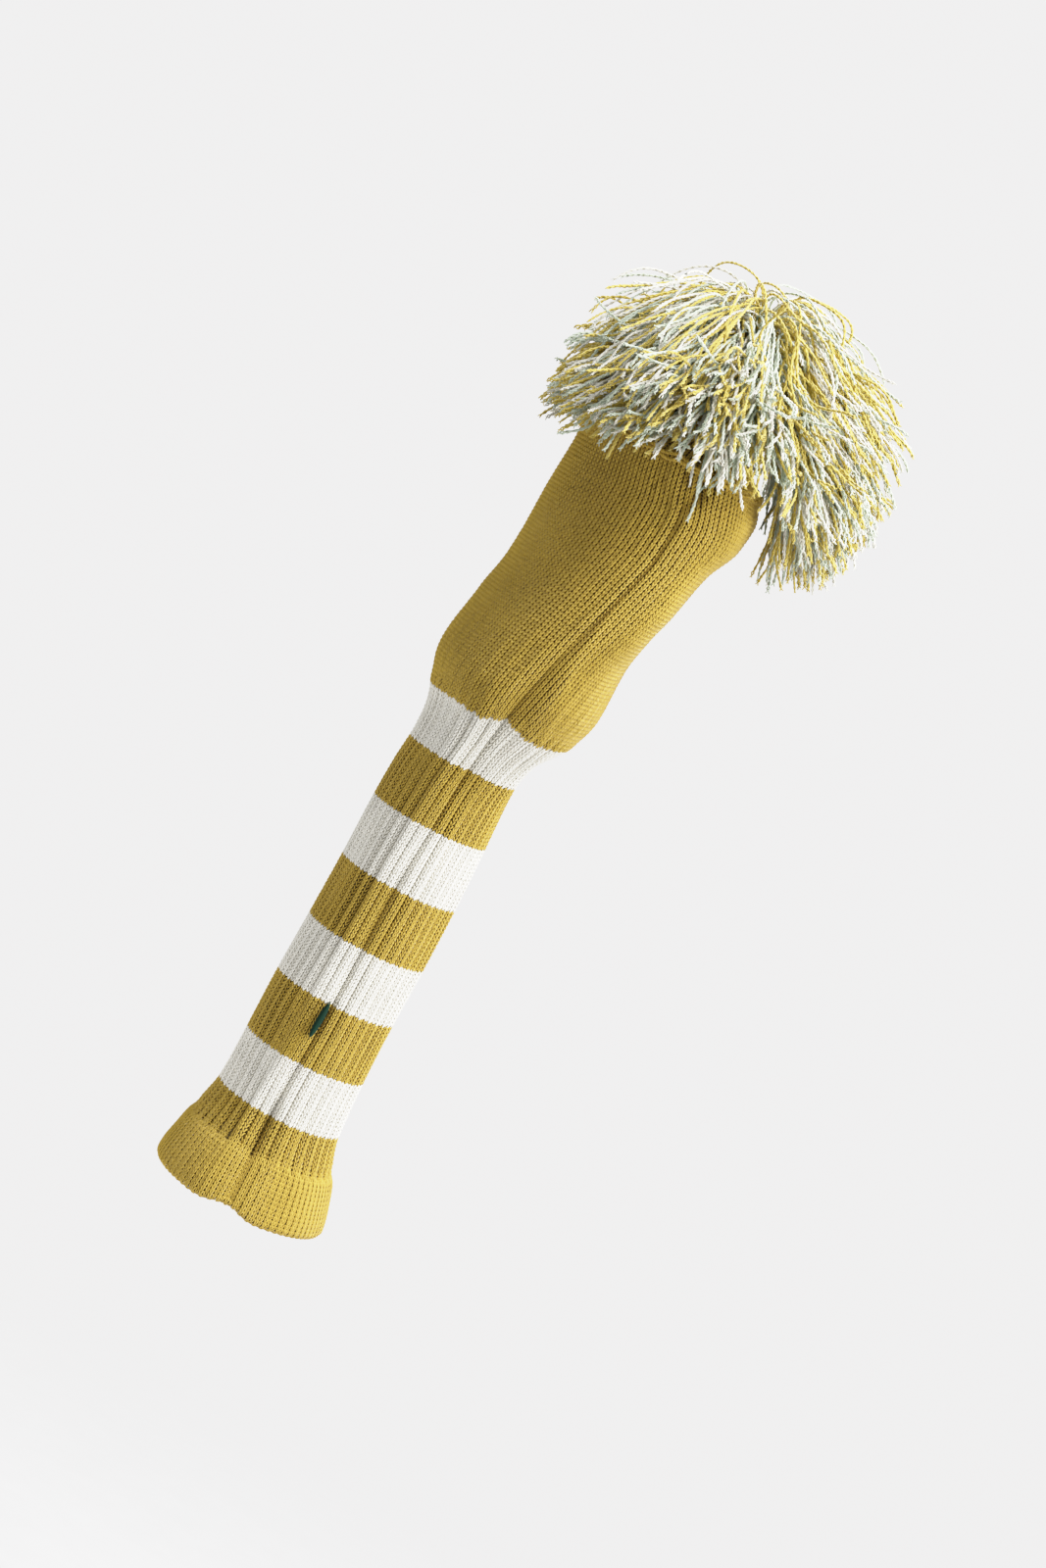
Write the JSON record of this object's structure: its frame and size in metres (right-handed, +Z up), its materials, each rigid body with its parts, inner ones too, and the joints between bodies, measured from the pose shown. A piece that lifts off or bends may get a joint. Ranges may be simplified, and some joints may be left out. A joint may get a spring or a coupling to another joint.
{
  "type": "driver head cover",
  "caption": "Knitted golf driver head cover: flared cuff, long ribbed neck in alternating stripes, oval head pocket, loose yarn pom-pom on the crown and a fold-out label tab.",
  "frame": {"origin": "middle of the oval mouth, in the plane of the hem", "axes": "+Z up the neck to the crown and pom-pom, -Y towards the side seam and the label, +X the side the pocket leans to"},
  "size_m": [0.1438, 0.1438, 0.4907],
  "materials": {
    "ochre_knit": "knitted wool blend, matt and slightly fuzzy",
    "white_knit": "knitted wool blend, matt and slightly fuzzy",
    "ochre_thread": "plied sewing yarn",
    "ochre_yarn": "loose plied yarn",
    "white_yarn": "loose plied yarn",
    "sage_yarn": "loose plied yarn",
    "lining_cloth": "thin plain lining",
    "elastic": "woven elastic tape",
    "label_ribbon": "dark green woven ribbon, plain"
  },
  "bodies": {
    "cover": {"cuff_outer": "ochre_knit", "cuff_facing": "ochre_knit", "hem_stitches": "ochre_thread", "neck_white_lower": "white_knit", "neck_ochre_lower": "ochre_knit", "neck_white_middle": "white_knit", "neck_ochre_middle": "ochre_knit", "neck_white_upper": "white_knit", "neck_ochre_upper": "ochre_knit", "shoulder_white": "white_knit", "head_pocket": "ochre_knit", "head_lining": "lining_cloth", "side_seam": "ochre_knit", "neck_elastics": "elastic", "crown_rolled_edge": "ochre_knit", "crown_gather_cord": "ochre_thread", "tie_anchor": "lining_cloth"},
    "tie": {"pom_tie": "ochre_thread"},
    "pom": {"pom_core": "ochre_yarn", "pom_binding": "white_yarn", "pom_ochre_hanging": "ochre_yarn", "pom_ochre_lower": "ochre_yarn", "pom_ochre_upper": "ochre_yarn", "pom_white_hanging": "white_yarn", "pom_white_lower": "white_yarn", "pom_white_upper": "white_yarn", "pom_sage_hanging": "sage_yarn", "pom_sage_lower": "sage_yarn", "pom_sage_upper": "sage_yarn"},
    "label": {"side_label": "label_ribbon"}
  },
  "joints": [
    {"name": "pom_sway", "type": "hinge", "parent": "cover", "child": "tie", "pos_m": [0.025, 0, 0.41], "axis": [0, 1, 0], "range_deg": [-12, 25], "stiffness_Nm_per_rad": 0.35},
    {"name": "pom_nod", "type": "hinge", "parent": "tie", "child": "pom", "pos_m": [0.025, 0, 0.41], "axis": [1, 0, 0], "range_deg": [-18, 18], "stiffness_Nm_per_rad": 0.35},
    {"name": "label_flip", "type": "hinge", "parent": "cover", "child": "label", "pos_m": [-0.0047, -0.0405, 0.0922], "axis": [0, 0, 1], "range_deg": [-70, 70], "stiffness_Nm_per_rad": 0.002}
  ]
}
